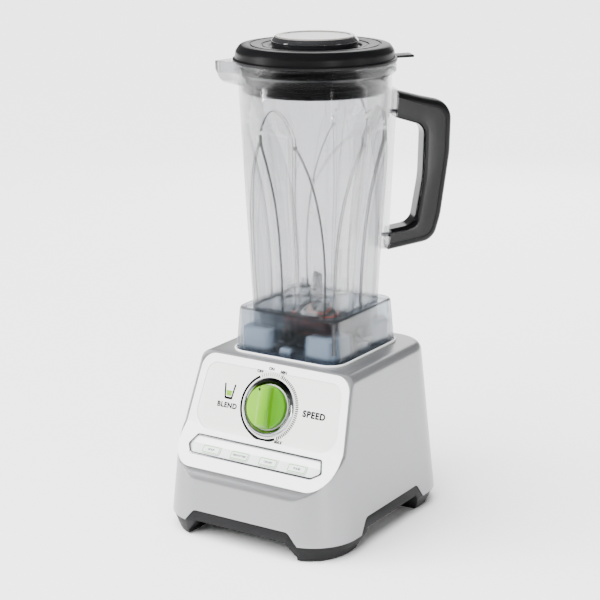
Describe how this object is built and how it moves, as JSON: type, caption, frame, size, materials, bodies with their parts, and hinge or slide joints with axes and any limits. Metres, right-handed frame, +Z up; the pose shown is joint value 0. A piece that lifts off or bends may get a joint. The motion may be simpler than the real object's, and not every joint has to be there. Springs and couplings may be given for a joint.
{
  "type": "countertop blender",
  "caption": "Countertop blender: wide silver motor base with dial and button strip, clear square-to-round jar with side handle, lid and clear cap.",
  "frame": {"origin": "on the surface it stands on, under the middle of the whole blender", "axes": "+Z up, -Y is the front with the control panel, +X the right hand side seen from the front"},
  "size_m": [0.214, 0.2511, 0.5],
  "materials": {
    "silver_plastic": "satin metallic silver paint on moulded plastic",
    "white_plastic": "smooth semi-gloss white",
    "panel_grey": "fine matte warm grey",
    "bright_trim": "bright plated",
    "strip_white": "gloss white",
    "seat_plastic": "moulded light blue grey",
    "rim_white": "gloss white line",
    "dark_plastic": "fine textured dark grey",
    "foot_rubber": "matte rubber",
    "screw_steel": "zinc plated",
    "stator_steel": "stacked steel sheets",
    "winding_copper": "enamelled copper",
    "bracket_alloy": "die cast",
    "bearing_steel": "ground steel",
    "holder_plastic": "moulded",
    "board_green": "coated circuit board",
    "drive_black": "tough black plastic",
    "knob_green": "gloss yellow green",
    "pointer_black": "inlaid black mark",
    "clear_jar": "clear moulded plastic",
    "handle_gloss": "gloss black",
    "handle_satin": "satin black",
    "gasket_red": "silicone seal",
    "blade_steel": "polished stainless",
    "lid_black": "satin black flexible plastic",
    "seal_black": "soft ribbed rubber",
    "clear_cap": "clear smoke plastic"
  },
  "bodies": {
    "base": {"housing": "silver_plastic", "front_bezel": "white_plastic", "control_panel": "panel_grey", "strip_trim": "bright_trim", "button_strip": "strip_white", "dial_ring": "bright_trim", "jar_seat": "seat_plastic", "seat_rim": "rim_white", "base_tray": "dark_plastic", "rubber_feet": "foot_rubber", "base_screws": "screw_steel", "cord_gland": "dark_plastic", "motor_stator": "stator_steel", "field_coils": "winding_copper", "upper_bracket": "bracket_alloy", "lower_bracket": "bracket_alloy", "motor_bearings": "bearing_steel", "motor_bolts": "screw_steel", "motor_mounts": "foot_rubber", "brush_holders": "holder_plastic", "speed_switch": "holder_plastic", "button_board": "board_green", "control_board": "board_green"},
    "rotor": {"motor_shaft": "bearing_steel", "armature": "bearing_steel", "commutator": "winding_copper", "cooling_fan": "holder_plastic", "drive_socket": "drive_black"},
    "knob": {"speed_knob": "knob_green", "knob_pointer": "pointer_black", "knob_shaft": "bearing_steel"},
    "button_1": {"button_1": "strip_white"},
    "button_2": {"button_2": "strip_white"},
    "button_3": {"button_3": "strip_white"},
    "button_4": {"button_4": "strip_white"},
    "jar": {"jar": "clear_jar", "jar_collar": "clear_jar", "handle_bracket": "clear_jar", "handle_core": "handle_gloss", "handle_shell": "handle_satin", "handle_screws": "screw_steel", "bearing_housing": "drive_black", "jar_bearings": "bearing_steel", "blade_gasket": "gasket_red", "bearing_bell": "blade_steel"},
    "blades": {"blade_shaft": "blade_steel", "drive_coupling": "drive_black", "blade_spacer": "blade_steel", "lower_blade": "blade_steel", "upper_blade": "blade_steel", "blade_nut": "blade_steel"},
    "lid": {"lid": "lid_black", "lid_seal": "seal_black"},
    "cap": {"measuring_cap": "clear_cap"}
  },
  "joints": [
    {"name": "motor_spin", "type": "hinge", "parent": "base", "child": "rotor", "pos_m": [0, 0.0215, 0.1], "axis": [0, 0, 1], "continuous": true},
    {"name": "knob_turn", "type": "hinge", "parent": "base", "child": "knob", "pos_m": [0, -0.0687, 0.1345], "axis": [0, -0.9397, 0.342], "range_deg": [-176, 0]},
    {"name": "button_1_press", "type": "slide", "parent": "base", "child": "button_1", "axis": [0, 0.7071, -0.7071], "range_m": [0, 0.0012], "stiffness_N_per_m": 400},
    {"name": "button_2_press", "type": "slide", "parent": "base", "child": "button_2", "axis": [0, 0.7071, -0.7071], "range_m": [0, 0.0012], "stiffness_N_per_m": 400},
    {"name": "button_3_press", "type": "slide", "parent": "base", "child": "button_3", "axis": [0, 0.7071, -0.7071], "range_m": [0, 0.0012], "stiffness_N_per_m": 400},
    {"name": "button_4_press", "type": "slide", "parent": "base", "child": "button_4", "axis": [0, 0.7071, -0.7071], "range_m": [0, 0.0012], "stiffness_N_per_m": 400},
    {"name": "jar_lift", "type": "slide", "parent": "base", "child": "jar", "axis": [0, 0, 1], "range_m": [0, 0.12]},
    {"name": "blade_spin", "type": "hinge", "parent": "jar", "child": "blades", "pos_m": [0, 0.0215, 0.2], "axis": [0, 0, 1], "continuous": true},
    {"name": "lid_lift", "type": "slide", "parent": "jar", "child": "lid", "axis": [0, 0, 1], "range_m": [0, 0.1]},
    {"name": "cap_lift", "type": "slide", "parent": "lid", "child": "cap", "axis": [0, 0, 1], "range_m": [0, 0.08]}
  ],
  "couplings": [
    {"joint": "blade_spin", "follows": "motor_spin", "ratio": 1}
  ]
}
